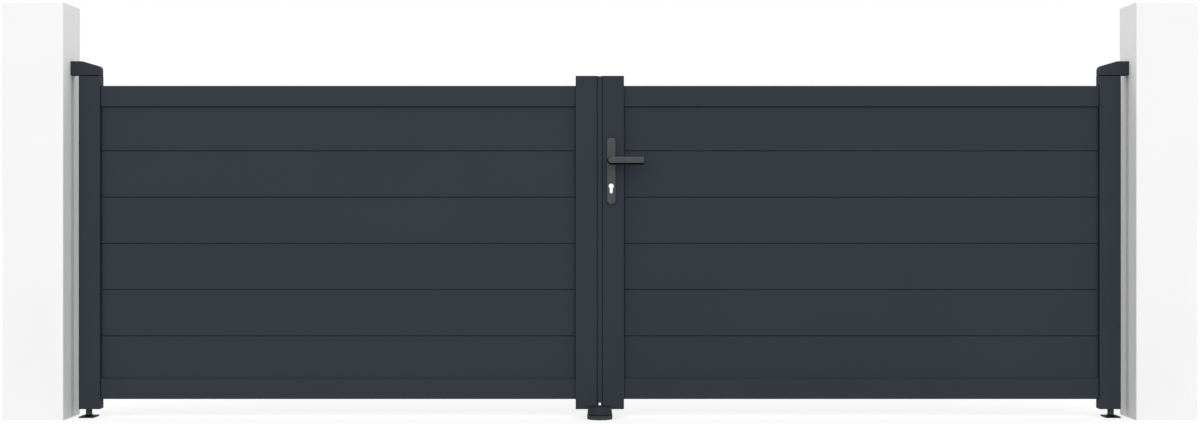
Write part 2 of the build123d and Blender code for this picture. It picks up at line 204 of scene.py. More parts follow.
pale_floor = bpy.data.materials.new("pale_studio_floor")
pale_floor.use_nodes = True
floor_tree = pale_floor.node_tree
floor_shader = floor_tree.nodes["Principled BSDF"]
floor_shader.inputs["Base Color"].default_value = linear(FLOOR_COLOUR)
floor_shader.inputs["Roughness"].default_value = 1.0
floor_shader.inputs["Specular IOR Level"].default_value = 0.0
floor_shader.inputs["Emission Color"].default_value = linear("#FFFFFF")
path = add_node(floor_tree, "ShaderNodeLightPath").outputs
seen = path["Is Camera Ray"]
for kind in ("Is Glossy Ray", "Is Transmission Ray"):
    seen = add_node(floor_tree, "ShaderNodeMath", {0: seen, 1: path[kind]}, operation="MAXIMUM").outputs[0]
glow = add_node(floor_tree, "ShaderNodeMath", {0: seen, 1: FLOOR_GLOW}, operation="MULTIPLY").outputs[0]
floor_tree.links.new(glow, floor_shader.inputs["Emission Strength"])
floor_mesh.materials.append(pale_floor)
print(pale_floor.name, "glows at", FLOOR_GLOW)

# %% [markdown]
# What all finishes share
#
# No real surface is one flat colour. Its tone drifts a little over a hand's width, and its sheen drifts with
# it. So each finish starts from the same small graph: a slow noise that blends two close tones and two
# roughness values. A painted picture could do it, but it would have to be fitted to each piece. The noise is
# read from the object's own coordinates, which are metres in the gate's frame and ride along when a leaf
# swings, so it fits all pieces at once. The finish and the parts of its graph are kept together, so that the
# next helpers can add to them.

# %% A finish with its drift
Finish = namedtuple("Finish", "material tree shader place tone")


def new_finish(name, dark, light, drift_mm, roughness, specular=0.5, metallic=0.0):
    """A material that drifts between two tones and two roughness values."""
    material = bpy.data.materials.new(name)
    material.use_nodes = True
    tree = material.node_tree
    shader = tree.nodes["Principled BSDF"]
    shader.inputs["Specular IOR Level"].default_value = specular
    shader.inputs["Metallic"].default_value = metallic
    place = add_node(tree, "ShaderNodeTexCoord").outputs
    drift = add_node(tree, "ShaderNodeTexNoise", {"Vector": place["Object"], "Scale": per_metre(drift_mm)})
    blend = {"Factor": drift.outputs["Fac"], "A": linear(dark), "B": linear(light)}
    tone = add_node(tree, "ShaderNodeMix", blend, data_type="RGBA").outputs["Result"]
    tree.links.new(tone, shader.inputs["Base Color"])
    spread = {"Value": drift.outputs["Fac"], "To Min": roughness[0], "To Max": roughness[1]}
    sheen = add_node(tree, "ShaderNodeMapRange", spread).outputs["Result"]
    tree.links.new(sheen, shader.inputs["Roughness"])
    return Finish(material, tree, shader, place, tone)


def dress(finish, *names):
    """Give CAD nodes one finish."""
    for name in names:
        slots = nodes[name].data.materials
        slots.clear()
        slots.append(finish.material)
    print(finish.material.name, "on", len(names), "nodes")


print("a finish keeps its", ", ".join(Finish._fields))

# %% [markdown]
# Grain and edges
#
# Every surface also has a grain that bends the light: sand, stipple or strokes. Modelled grain would take
# millions of faces, so a fine noise drives a bump, which only turns the shading. On worked metal the edges
# differ from the faces: a coat runs thin there, and hands polish it. The paler edges are also a painted
# highlight, for the light that rounded edges catch. Edges are found from the surface's own direction. Flat
# faces here look straight along an axis, and only bevels and round edges lean.

# %% Grain and edge helpers
GRAIN_DETAIL = 3.0
GRAIN_STRENGTH = 0.6
EDGE_STARTS = 0.98       # the largest part of the surface's direction, where an edge's colour sets in
EDGE_IS_FULL = 0.80      # and where it has come in fully


def press_grain(finish, size_mm, relief_mm, vector=None):
    """Bend the surface with a grain of that size and depth, even all round unless a vector is given."""
    if vector is None:
        vector = finish.place["Object"]
    pattern = {"Vector": vector, "Scale": per_metre(size_mm), "Detail": GRAIN_DETAIL}
    grain = add_node(finish.tree, "ShaderNodeTexNoise", pattern).outputs["Fac"]
    relief = {"Height": grain, "Strength": GRAIN_STRENGTH, "Distance": relief_mm * MM}
    bump = add_node(finish.tree, "ShaderNodeBump", relief).outputs["Normal"]
    finish.tree.links.new(bump, finish.shader.inputs["Normal"])


def tint_edges(finish, edge_colour, share):
    """Blend in a share of another colour where the surface leans."""
    tree = finish.tree
    normal = finish.place["Normal"]
    parts = add_node(tree, "ShaderNodeVectorMath", {0: normal}, operation="ABSOLUTE").outputs[0]
    part = add_node(tree, "ShaderNodeSeparateXYZ", {0: parts}).outputs
    most = part["X"]
    for axis in ("Y", "Z"):
        most = add_node(tree, "ShaderNodeMath", {0: most, 1: part[axis]}, operation="MAXIMUM").outputs[0]
    ramp = {"Value": most, "From Min": EDGE_STARTS, "From Max": EDGE_IS_FULL, "To Max": share}
    edge = add_node(tree, "ShaderNodeMapRange", ramp).outputs["Result"]
    blend = {"Factor": edge, "A": finish.tone, "B": linear(edge_colour)}
    mixed = add_node(tree, "ShaderNodeMix", blend, data_type="RGBA").outputs["Result"]
    tree.links.new(mixed, finish.shader.inputs["Base Color"])


print("an edge shows from a lean of", round(math.degrees(math.acos(EDGE_STARTS))), "degrees")

# %% [markdown]
# Powder coat on the leaves
#
# The leaves are extruded aluminium with a baked polyester powder coat in anthracite grey: matt, with a fine
# sanded texture that breaks up reflections. The coat covers the metal fully, so it is not metallic at all
# but a dark dielectric. Its reflection is set low, because the sanded texture scatters most of it. A high
# roughness alone would leave a pale veil on faces seen at a slant. The two leaves were coated apart, and the
# right one came out a touch darker.

# %% Powder coat
COAT_GRAIN_MM = 4.0      # the real grain is about 0.4 mm, too fine to show, so it is drawn coarser
COAT_RELIEF_MM = 0.12
COAT_DRIFT_MM = 380.0
# The edge tone is paler: thin coat, and a painted highlight where rounded edges catch the light.
COAT_EDGE_HIGHLIGHT_SHARE = 0.5
COAT_TONES = {"left": ("#343840", "#373C43", "#41464F"),    # dark, light and edge
              "right": ("#333840", "#363B42", "#3F444D")}
SIDES = ("left", "right")
BOARD_COUNT = 6
BOARDS = tuple(f"board_{n}" for n in range(1, BOARD_COUNT + 1))
LEAF_FRAME = ("hinge_stile", "meeting_stile", "top_rail", "bottom_rail")


def powder_coat(name, dark, light, edge):
    """Matt sanded powder coat, a little paler on edges, where it runs thin and where a painted highlight
    sits.
    """
    coat = new_finish(name, dark, light, drift_mm=COAT_DRIFT_MM, roughness=(0.55, 0.65), specular=0.05)
    press_grain(coat, COAT_GRAIN_MM, COAT_RELIEF_MM)
    tint_edges(coat, edge, COAT_EDGE_HIGHLIGHT_SHARE)
    return coat


for side in SIDES:
    coat = powder_coat(f"anthracite_powder_coat_{side}", *COAT_TONES[side])
    dress(coat, *[f"{side}_{name}" for name in LEAF_FRAME + BOARDS])

# %% [markdown]
# White render on the pillars
#
# The pillars are masonry with a coat of white mineral render, floated smooth while wet. It is chalky and
# quite matt, with grains of sand just under the skin and broad paler and darker sweeps where the float went.
# The sweeps are the finish's own drift, at the width of a float, and the sand is its grain, so the render
# needs nothing that the shared graph doesn't have.

# %% Mineral render
RENDER_GRAIN_MM = 7.0    # the sand is about 1 mm, and is drawn coarser so that it shows
RENDER_RELIEF_MM = 0.35
RENDER_SWEEP_MM = 260.0

white_render = new_finish("white_mineral_render", "#F5F5F5", "#F9F9F9", drift_mm=RENDER_SWEEP_MM,
                          roughness=(0.85, 0.95), specular=0.2)
press_grain(white_render, RENDER_GRAIN_MM, RENDER_RELIEF_MM)
dress(white_render, "left_pillar", "right_pillar")

# %% [markdown]
# The hinge brackets
#
# The brackets are cast aluminium, painted in the leaves' colour, with the orange-peel skin that paint takes
# on a casting. That skin is a coarse, shallow grain, which catches the light in soft patches.

# %% Painted casting
CAST_SKIN_MM = 6.0       # about 1.5 mm on the casting, drawn coarser
CAST_RELIEF_MM = 0.15
CAST_DRIFT_MM = 60.0

cast_paint = new_finish("painted_cast_aluminium", "#32353C", "#383B42", drift_mm=CAST_DRIFT_MM,
                        roughness=(0.62, 0.72), specular=0.05)
press_grain(cast_paint, CAST_SKIN_MM, CAST_RELIEF_MM)
dress(cast_paint, "left_top_hinge", "right_top_hinge")

# %% [markdown]
# The floor pivots
#
# A floor pivot is steel: the plate has a thin black dip coat, which ripples as it drains, and the stem above
# it is painted grey. That grey is lifted above the paint's own tone: painted light, against the shade the
# stem stands in under the stile. The pivot is one solid. One could give some of its faces a second material.
# It is simpler to lay the second colour on by height above the ground, which any material can read from its
# coordinates.

# %% Dip-coated steel
DIP_RIPPLE_MM = 9.0
DIP_RELIEF_MM = 0.05
DIP_DRIFT_MM = 40.0
# The stem's grey is lighter than its paint: painted light against the shade it stands in.
STEM_GREY_WITH_PAINTED_LIGHT = "#494B50"
STEM_FOOT_MM = (7.0, 10.0)    # heights between which the black gives way to the paint


def colour_by_height(finish, low_tone, high_tone, heights_mm):
    """Blend from one tone to another between two heights above the ground."""
    tree = finish.tree
    height = add_node(tree, "ShaderNodeSeparateXYZ", {0: finish.place["Object"]}).outputs["Z"]
    ramp = {"Value": height, "From Min": heights_mm[0] * MM, "From Max": heights_mm[1] * MM}
    share = add_node(tree, "ShaderNodeMapRange", ramp).outputs["Result"]
    blend = {"Factor": share, "A": low_tone, "B": high_tone}
    mixed = add_node(tree, "ShaderNodeMix", blend, data_type="RGBA").outputs["Result"]
    tree.links.new(mixed, finish.shader.inputs["Base Color"])
    return mixed


black_dip = new_finish("black_dip_coated_steel", "#060607", "#0A0A0B", drift_mm=DIP_DRIFT_MM,
                       roughness=(0.55, 0.65), specular=0.08)
press_grain(black_dip, DIP_RIPPLE_MM, DIP_RELIEF_MM)
colour_by_height(black_dip, black_dip.tone, linear(STEM_GREY_WITH_PAINTED_LIGHT), STEM_FOOT_MM)
dress(black_dip, "left_floor_pivot", "right_floor_pivot")

# %% [markdown]
# Ground stop and end caps
#
# The ground stop and the stiles' end caps are nylon, coloured right through. Their mould was spark-eroded,
# which leaves an even matt stipple. The stop's base ring is painted paler, a painted light where its foot
# would catch more light, and a dark band of painted shade runs over the groove above it. Both are laid on by
# height, as on the pivots' stems.

# %% Moulded nylon
STIPPLE_MM = 3.0         # about 0.3 mm on the moulding, drawn coarser
STIPPLE_RELIEF_MM = 0.08
NYLON_DRIFT_MM = 50.0
# The ring's paler tone is painted light, and the joint's black is painted shade over the stop's groove.
STOP_RING_PAINTED_LIGHT = "#36383C"
STOP_RING_TOP_MM = (13.6, 14.0)     # heights between which the ring gives way to the joint
STOP_JOINT_PAINTED_SHADE = "#050506"
STOP_JOINT_TOP_MM = (17.8, 18.2)    # and the joint to the stop


def moulded_nylon(name, dark, light, specular):
    """Through-coloured nylon with the stipple of its mould."""
    nylon = new_finish(name, dark, light, drift_mm=NYLON_DRIFT_MM, roughness=(0.55, 0.68), specular=specular)
    press_grain(nylon, STIPPLE_MM, STIPPLE_RELIEF_MM)
    return nylon


cap_nylon = moulded_nylon("anthracite_moulded_nylon", "#32363E", "#363A42", specular=0.05)
dress(cap_nylon, *[name for name in nodes if name.endswith(("_foot", "_head"))])

stop_nylon = moulded_nylon("charcoal_moulded_nylon_painted_light_and_shade", "#24272E", "#282B32", specular=0.2)
# Painted shade over the groove, then painted light on the base ring, laid under the stop's tone by height.
stop_tone_over_joint_shade = colour_by_height(stop_nylon, linear(STOP_JOINT_PAINTED_SHADE), stop_nylon.tone, STOP_JOINT_TOP_MM)
colour_by_height(stop_nylon, linear(STOP_RING_PAINTED_LIGHT), stop_tone_over_joint_shade, STOP_RING_TOP_MM)
dress(stop_nylon, "centre_stop")

# %% [markdown]
# The handles
#
# Levers and plates are aluminium with a satin grey lacquer, brushed along their length before it went on, so
# faint lines run through it. A lacquer is a dielectric skin. The bevels are paler, partly rubbed by hands and
# partly a painted highlight, which draws a light rim round the grip. An anisotropic shader can give a brushed
# sheen, but it shows no strokes.
# Here brushing is a noise stretched a hundredfold along the strokes: the plates were brushed upright and the
# levers along the grip.

# %% Satin lacquer on brushed aluminium
BRUSH_MM = 1.2           # the strokes are about 0.1 mm apart, drawn coarser
BRUSH_RELIEF_MM = 0.05
STROKE_STRETCH = 0.01    # a stroke's width over its length
LACQUER_DRIFT_MM = 35.0
# The edge tone is paler: rubbing wear, and a painted highlight round the grip.
LACQUER_EDGE_HIGHLIGHT = "#6C6D6F"
LACQUER_EDGE_SHARE = 0.7


def brush(finish, along):
    """Press strokes into a finish that run along one axis, X, Y or Z."""
    scale = [STROKE_STRETCH if axis == along else 1.0 for axis in "XYZ"]
    strokes = add_node(finish.tree, "ShaderNodeMapping", {"Vector": finish.place["Object"], "Scale": scale})
    press_grain(finish, BRUSH_MM, BRUSH_RELIEF_MM, strokes.outputs["Vector"])


def satin_lacquer(name, along):
    """Grey lacquer over aluminium that was brushed along one axis."""
    lacquer = new_finish(name, "#414244", "#47484B", drift_mm=LACQUER_DRIFT_MM, roughness=(0.36, 0.46),
                         specular=0.25)
    brush(lacquer, along)
    tint_edges(lacquer, LACQUER_EDGE_HIGHLIGHT, LACQUER_EDGE_SHARE)
    return lacquer


dress(satin_lacquer("satin_lacquer_brushed_along", "X"), "street_lever", "drive_lever")
dress(satin_lacquer("satin_lacquer_brushed_upright", "Z"), "street_handle_plate", "drive_handle_plate")

# %% [markdown]
# The lock's steel
#
# The lock's face plate, the strike and the spindle are stainless steel, ground along their length. This is
# bare metal, so it is metallic, with the default IOR, and the brushing alone gives its satin look. The
# plates' screws are steel with a bright zinc plating. It is smoother, so it gives small clear highlights,
# and its crystals make the tone change within a few millimetres.

# %% Brushed stainless steel and bright zinc
STEEL_DRIFT_MM = 30.0
ZINC_DRIFT_MM = 4.0
ZINC_GRAIN_MM = 1.5
ZINC_RELIEF_MM = 0.02

brushed_steel = new_finish("brushed_stainless_steel", "#9E9D9A", "#A8A7A4", drift_mm=STEEL_DRIFT_MM,
                           roughness=(0.28, 0.38), metallic=1.0)
brush(brushed_steel, "Z")
dress(brushed_steel, "lock_case", "strike_plate", "lever_spindle")

bright_zinc = new_finish("bright_zinc_plated_steel", "#A6A8AC", "#B4B6B8", drift_mm=ZINC_DRIFT_MM,
                         roughness=(0.25, 0.38), metallic=1.0)
press_grain(bright_zinc, ZINC_GRAIN_MM, ZINC_RELIEF_MM)
print("also made", bright_zinc.material.name)

# %% [markdown]
# How the small pieces are made
#
# Screws, seals and trims are all skins stretched over a row of rings, like paper over the ribs of a lantern.
# A screw's rings shrink and sink towards its hexagon socket. A seal's rings are two copies of its section, at
# its foot and its head. Blender's own cylinders and modifiers could be combined to the same shapes, but one
# recipe for all is less to learn, and its faces go just where they are needed. One function makes rings, one
# joins them, and one turns the result into an object that rides on its part of the gate. Sizes are in
# millimetres.

# %% Rings
RING_POINTS = 24


def ring(radius, height, flats=0):
    """A ring about the Z axis, round, or with so many flats at that inner radius."""
    made = []
    for n in range(RING_POINTS):
        turn = 2 * math.pi * n / RING_POINTS
        half = math.pi / flats if flats else math.pi
        lean = (turn + half) % (2 * half) - half if flats else 0
        reach = radius / math.cos(lean)
        made.append(Vector((reach * math.cos(turn), reach * math.sin(turn), height)))
    return made


corner_reach = max(point.length for point in ring(1, 0, flats=6))
print("a hexagon's corners reach", round(corner_reach, 3), "times as far as its flats")

# %% [markdown]
# From rings to pieces
#
# A skin joins each ring to the next with four-sided faces and closes its ends, or runs round in a loop.
# The finished piece is smooth, except along edges that turn by more than a set angle, so that a rounded
# bead looks round and a bevel stays crisp.

# %% Skins and pieces
SHARP_DEGREES = 35


def skin(build, rings, place, closed=False):
    """Join rings in turn, then cap both ends, or join the last to the first if it is closed."""
    loops = [[build.verts.new(place @ (point * MM)) for point in points] for points in rings]
    pairs = list(zip(loops, loops[1:])) + ([(loops[-1], loops[0])] if closed else [])
    for low, high in pairs:
        for n in range(len(low)):
            after = (n + 1) % len(low)
            build.faces.new((low[n], low[after], high[after], high[n]))
    if not closed:
        build.faces.new(list(reversed(loops[0])))
        build.faces.new(loops[-1])


def add_piece(name, build, finish, body):
    """Turn a build into an object with a finish that rides on a body."""
    bmesh.ops.recalc_face_normals(build, faces=build.faces)
    mesh = bpy.data.meshes.new(name)
    build.to_mesh(mesh)
    build.free()
    mesh.shade_smooth()
    mesh.set_sharp_from_angle(angle=math.radians(SHARP_DEGREES))
    mesh.materials.append(finish.material)
    piece = bpy.data.objects.new(name, mesh)
    bpy.context.scene.collection.objects.link(piece)
    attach(piece, body)
    print(name, "rides on", body, "with", len(mesh.polygons), "faces")
    return piece


print("edges that turn more than", SHARP_DEGREES, "degrees stay sharp")

# %% [markdown]
# Rubber strips
#
# Seals are EPDM rubber, pressed through a die: quite matt, with a faint bloom on the skin. Each section is a
# short list of corners. Rubber comes rounded from its die, so each corner gives way to a short curve. A bevel
# modifier could round them too, but it would also round the strip's ends, which are cut off square.

# %% Rubber and its rounded sections
RUBBER_DRIFT_MM = 45.0
RUBBER_BLOOM_MM = 2.5    # finer than 1 mm on the strip, drawn coarser
RUBBER_RELIEF_MM = 0.06
RUBBER_ROUND_MM = 0.9
CURVE_SHARE = 0.4        # the most of a side that one corner's curve takes


def epdm_rubber(name, dark, light):
    """Matt extruded rubber."""
    rubber = new_finish(name, dark, light, drift_mm=RUBBER_DRIFT_MM, roughness=(0.6, 0.75), specular=0.15)
    press_grain(rubber, RUBBER_BLOOM_MM, RUBBER_RELIEF_MM)
    return rubber


def rounded(corners, radius):
    """Give each corner of a closed section a short curve, which starts that far from it."""
    made = []
    for n, corner in enumerate(corners):
        sides = [corners[n - 1] - corner, corners[(n + 1) % len(corners)] - corner]
        reaches = [min(radius, side.length * CURVE_SHARE) for side in sides]
        before, after = [corner + side.normalized() * reach for side, reach in zip(sides, reaches)]
        middle = before * 0.25 + corner * 0.5 + after * 0.25
        made += [before, middle, after]
    return made


seal_rubber = epdm_rubber("grey_epdm_rubber", "#2E333C", "#333841")
# Black rubber for the gaskets and rail sleeves, whose black is painted shade: the dark lines round panels and
# rails.
shade_line_rubber = epdm_rubber("black_epdm_shade_line_rubber", "#0B0B0D", "#101012")
print("made", seal_rubber.material.name, "and", shade_line_rubber.material.name)

# %% [markdown]
# The seal in the middle gap
#
# A strip of rubber is pushed into a slot of the right stile's nib and closes the gap to the left one. The
# solid stands a hair clear, so that it never drags. Real rubber touches, and it is squeezed a little, so this
# piece takes the solid's place and reaches just to the other nib. A lip of it folds over the right nib's
# front, and the left nib wears a lip of its own, so that the two close to one even ridge. The gap is
# measured from the frame and not written down, so that the strip fits if the gap changes.

# %% Measure the middle gap
NIB_RECESS_MM = 6.5      # from the leaf's front to the nibs' front
SLOT_MIDDLE_MM = 10.5    # from the leaf's front to the middle of the nib's slot
LIP_FRONT_MM = 0.8       # from the leaf's front to the lips' front
LIP_SEAT_MM = 0.1        # how far a lip is pressed on its nib
FOOT_DEPTH_MM = 3.6      # of the foot in the slot
FOOT_HALF_MM = 1.2       # half its width

seal_low, seal_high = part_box("meeting_seal")
nib_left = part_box("left_meeting_stile")[1].x
nib_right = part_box("right_meeting_stile")[0].x
leaf_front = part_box("left_hinge_stile")[0].y / MM
half_gap = (nib_right - nib_left) / 2 / MM
lip_front = leaf_front + LIP_FRONT_MM
lip_back = leaf_front + NIB_RECESS_MM + LIP_SEAT_MM
slot_front, slot_back = [leaf_front + SLOT_MIDDLE_MM + way * FOOT_HALF_MM for way in (-1, 1)]
seal_back = seal_high.y / MM
print("the nibs stand", round(2 * half_gap, 2), "mm apart")

# %% The meeting seal and the left nib's lip
LIP_REACH_MM = 7.0       # from the middle of the gate to the edge of each lip
LIP_EASE_MM = 0.05       # from the left nib's edge back to its lip's
PRESS_MM = 0.02          # how far the seal is pressed on the left nib


def strip(name, corners, body):
    """A rubber strip of one section, as tall as the seal."""
    section = rounded([Vector((x, y, 0)) for x, y in corners], RUBBER_ROUND_MM)
    rise = Vector((0, 0, (seal_high.z - seal_low.z) / MM))
    foot = Matrix.Translation((gate_middle, 0, seal_low.z))
    build = bmesh.new()
    skin(build, [section, [point + rise for point in section]], foot)
    return add_piece(name, build, seal_rubber, body)


foot_end = half_gap + FOOT_DEPTH_MM
pressed = -half_gap - PRESS_MM
eased = -half_gap - LIP_EASE_MM
seal = strip("meeting_seal_strip",
             [(LIP_REACH_MM, lip_front), (LIP_REACH_MM, lip_back), (half_gap, lip_back),
              (half_gap, slot_front), (foot_end, slot_front), (foot_end, slot_back), (half_gap, slot_back),
              (half_gap, seal_back), (pressed, seal_back), (pressed, lip_front)], "right_leaf")
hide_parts("meeting_seal")
strip("left_nib_lip", [(eased, lip_front), (eased, lip_back), (-LIP_REACH_MM, lip_back),
                       (-LIP_REACH_MM, lip_front)], "left_leaf")

# %% [markdown]
# Gaskets round the boards: lines of painted shade
#
# Where the boards slide into the frame, a black rubber gasket keeps them from rattling. Its black is painted
# shade: it stands in for the thin dark line of shade round each panel, and the bead throws a small shadow of
# its own as well. It is a small bead, slimmer along the bottom, where the boards' weight rests on it and the
# line of shade is fainter. A mitre needs no extra work when a section is pushed inwards from two sides at
# once, so the bead's rings stand only at its four corners.

# %% The gaskets, lines of painted shade
BOTTOM_SHARE = 0.4       # the bead's width along the bottom over that along the other sides
BEAD_SECTION_MM = ((-0.2, -0.2), (2.2, -0.2), (2.4, 0.6), (2.0, 1.7), (1.2, 2.4), (0.4, 2.7), (-0.2, 2.7))
PANEL_BOARD = "board_3"  # all boards lie in one plane, so any of them gives the panel's faces


def shade_line_gasket(side, face_y, out):
    """The black bead round one leaf's boards, a line of painted shade, on the street or the drive side."""
    inward = 1 if side == "left" else -1
    inner_corner = 1 if side == "left" else 0
    hinge_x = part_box(f"{side}_hinge_stile")[inner_corner].x
    meeting_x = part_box(f"{side}_meeting_stile")[1 - inner_corner].x
    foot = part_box(f"{side}_bottom_rail")[1].z
    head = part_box(f"{side}_top_rail")[0].z
    stations = [((hinge_x, foot), (inward, BOTTOM_SHARE)), ((hinge_x, head), (inward, -1)),
                ((meeting_x, head), (-inward, -1)), ((meeting_x, foot), (-inward, BOTTOM_SHARE))]
    rings = [[Vector((x / MM + u * dx, face_y / MM + v * out, z / MM + u * dz)) for u, v in BEAD_SECTION_MM]
             for (x, z), (dx, dz) in stations]
    build = bmesh.new()
    skin(build, rings, Matrix.Identity(4), closed=True)
    return build


# Each bead's black is a line of painted shade round the panel.
for side in SIDES:
    board_low, board_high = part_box(f"{side}_{PANEL_BOARD}")
    for face, face_y, out in (("street", board_low.y, -1), ("drive", board_high.y, 1)):
        bead = shade_line_gasket(side, face_y, out)
        add_piece(f"{side}_{face}_gasket", bead, shade_line_rubber, f"{side}_leaf")

# %% [markdown]
# Sleeves on the rails' ends: lines of painted shade
#
# Each rail butts against a stile, and a thin black rubber sleeve on its end keeps water out of the joint. Its
# black is painted shade: it stands in for the fine dark line of shade between rail and stile. A sleeve hugs
# the rail's front, its outer edge and its back, and stops where the boards begin. It is the gasket's recipe
# again: one section, pushed outwards at four corners.

# %% Rail sleeves, lines of painted shade
SLEEVE_SECTION_MM = ((-0.1, -0.3), (1.2, -0.3), (1.2, 0.3), (0.9, 0.6), (-0.1, 0.6))
SLEEVE_END_MM = 0.8      # from the rail's edge at the boards to the sleeve's end


def shade_line_sleeve(build, rail, stile_x, inward, outer):
    """The black sleeve of one rail's end, a line of painted shade. Outer points along Z from the boards to
    the rail's outer edge.
    """
    low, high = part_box(rail)
    edge_z, board_z = (high.z, low.z) if outer > 0 else (low.z, high.z)
    end_z = board_z + outer * SLEEVE_END_MM * MM
    stations = [((low.y, end_z), (-1, 0)), ((low.y, edge_z), (-1, outer)),
                ((high.y, edge_z), (1, outer)), ((high.y, end_z), (1, 0))]
    rings = [[Vector((stile_x / MM + u * inward, y / MM + v * dy, z / MM + v * dz))
              for u, v in SLEEVE_SECTION_MM] for (y, z), (dy, dz) in stations]
    skin(build, rings, Matrix.Identity(4))


# Each sleeve's black is a line of painted shade between rail and stile.
for side in SIDES:
    build = bmesh.new()
    for rail, outer in (("top_rail", 1), ("bottom_rail", -1)):
        low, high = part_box(f"{side}_{rail}")
        for stile_x, inward in ((low.x, 1), (high.x, -1)):
            shade_line_sleeve(build, f"{side}_{rail}", stile_x, inward, outer)
    add_piece(f"{side}_rail_shade_line_sleeves", build, shade_line_rubber, f"{side}_leaf")

# %% [markdown]
# Groove fillers
#
# A stile is extruded, so its groove for the boards runs along its whole length. Above the top rail and below
# the bottom rail it would stand open, so a nylon filler closes it there, a hair below the stile's face. One
# could fill the groove in the solid, but then it would not be an extrusion any more. A filler is a short bar
# with rounded edges, and the four of a leaf are one piece.

# %% Groove fillers
GROOVE_PLAY_MM = 0.25    # from a board's face to the filler's side
FILLER_DEPTH_MM = 11.0   # from the stile's face to the filler's back
FILLER_INSET_MM = 0.4    # from the stile's face to the filler's front
FILLER_ROUND_MM = 1.2
FILLER_END_MM = 0.2      # left free at each end


def filler_section(side, stile):
    """The section of the filler in one stile's groove."""
    low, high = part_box(f"{side}_{stile}")
    board_low, board_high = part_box(f"{side}_{PANEL_BOARD}")
    front_y = board_low.y / MM - GROOVE_PLAY_MM
    back_y = board_high.y / MM + GROOVE_PLAY_MM
    looks_right = (side == "left") == (stile == "hinge_stile")
    face_x = (high.x if looks_right else low.x) / MM
    into = -1 if looks_right else 1
    near_x, far_x = [face_x + depth * into for depth in (FILLER_INSET_MM, FILLER_DEPTH_MM)]
    corners = [(near_x, front_y), (near_x, back_y), (far_x, back_y), (far_x, front_y)]
    return rounded([Vector((x, y, 0)) for x, y in corners], FILLER_ROUND_MM)


for side in SIDES:
    rail_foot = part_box(f"{side}_bottom_rail")[0].z
    rail_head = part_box(f"{side}_top_rail")[1].z
    build = bmesh.new()
    for stile in ("hinge_stile", "meeting_stile"):
        section = filler_section(side, stile)
        low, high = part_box(f"{side}_{stile}")
        for foot, head in ((low.z, rail_foot), (rail_head, high.z)):
            levels = (foot / MM + FILLER_END_MM, head / MM - FILLER_END_MM)
            rings = [[point + Vector((0, 0, z)) for point in section] for z in levels]
            skin(build, rings, Matrix.Identity(4))
    add_piece(f"{side}_groove_fillers", build, cap_nylon, f"{side}_leaf")

# %% [markdown]
# Screws
#
# Socket screws hold the floor plates down, the lock's face plate and the strike in their stiles, and the
# drive side's handle plate. One recipe serves them all: a low domed head with a bevelled rim and a hexagon
# socket that sinks into it. A flat disc with a bump would do from far off, but a real socket keeps its dark
# floor in close views. Only the size and the direction change, so the places are a short table.

# %% A screw, and the floor plates' screws
DOME_PROFILE = ((1.0, 0.0), (1.0, 0.3), (0.93, 0.65), (0.78, 0.92))    # shares of the radius and the height
SOCKET_SHARE = 0.45      # the socket's inner radius over the head's
SOCKET_FLATS = 6
SOCKET_RIM = 1.3         # the flat rim's radius over the socket's
SOCKET_FLOOR = 0.25      # the socket's floor over the head's height
SHANK_SHARE = 0.55       # the shank's radius over the head's
FLOOR_SCREW_MM = {"radius": 7.0, "height": 2.4, "sink": 3.0}
FLOOR_PLATE_MM = 4.0     # the plate's thickness
ANCHOR_OFFSET_MM = 27.0  # from the pivot to each of its screws


def facing(point, direction):
    """A place at a point whose Z axis looks along a direction."""
    return Matrix.Translation(point) @ Vector(direction).to_track_quat("Z", "Y").to_matrix().to_4x4()


def screw(build, place, radius, height, sink):
    """A domed socket screw that stands on the plane at its place and looks along +Z."""
    shank = radius * SHANK_SHARE
    socket = radius * SOCKET_SHARE
    rings = [ring(shank, -sink), ring(shank, 0)]
    rings += [ring(radius * wide, height * high) for wide, high in DOME_PROFILE]
    rings += [ring(socket * SOCKET_RIM, height), ring(socket, height, SOCKET_FLATS),
              ring(socket, height * SOCKET_FLOOR, SOCKET_FLATS)]
    skin(build, rings, place)


for side in SIDES:
    low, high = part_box(f"{side}_floor_pivot")
    plate = (low + high) / 2
    build = bmesh.new()
    for end in (-1, 1):
        top = (plate.x, plate.y + end * ANCHOR_OFFSET_MM * MM, FLOOR_PLATE_MM * MM)
        screw(build, facing(top, (0, 0, 1)), **FLOOR_SCREW_MM)
    add_piece(f"{side}_floor_screws", build, black_dip, "posts")

# %% The plates' screws
PLATE_SCREW_MM = {"radius": 4.0, "height": 1.0, "sink": 2.0}
PLATE_SCREW_INSET_MM = 12.0    # from the end of a plate to the screw's middle
SCREWED_PLATES = (("lock_screws", "lock_case", "right_leaf", (-1, 0, 0)),
                  ("strike_screws", "strike_plate", "left_leaf", (1, 0, 0)),
                  ("drive_plate_screws", "drive_handle_plate", "right_leaf", (0, 1, 0)))


def on_face(low, high, direction):
    """The middle of that face of a box which looks along a direction."""
    middle = (low + high) / 2
    choices = zip(low, middle, high, direction)
    return Vector([most if way > 0 else least if way < 0 else mean for least, mean, most, way in choices])


for name, node, body, direction in SCREWED_PLATES:
    low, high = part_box(node)
    spot = on_face(low, high, direction)
    build = bmesh.new()
    for height in (low.z + PLATE_SCREW_INSET_MM * MM, high.z - PLATE_SCREW_INSET_MM * MM):
        screw(build, facing((spot.x, spot.y, height), direction), **PLATE_SCREW_MM)
    add_piece(name, build, bright_zinc, body)

# %% [markdown]
# The levers' liners: painted shade
#
# Round each grip runs a liner of black nylon: a thin edge on top, and a thick pull underneath and round the
# heel, where the fingers go. Its black is painted shade, standing in for the shade under and round the grip.
# A solidify modifier could thicken the grip's outline, but evenly. The liner follows that outline at a
# distance that changes with the direction it faces, so one loop of points, pushed out by the right amount,
# gives its whole shape.

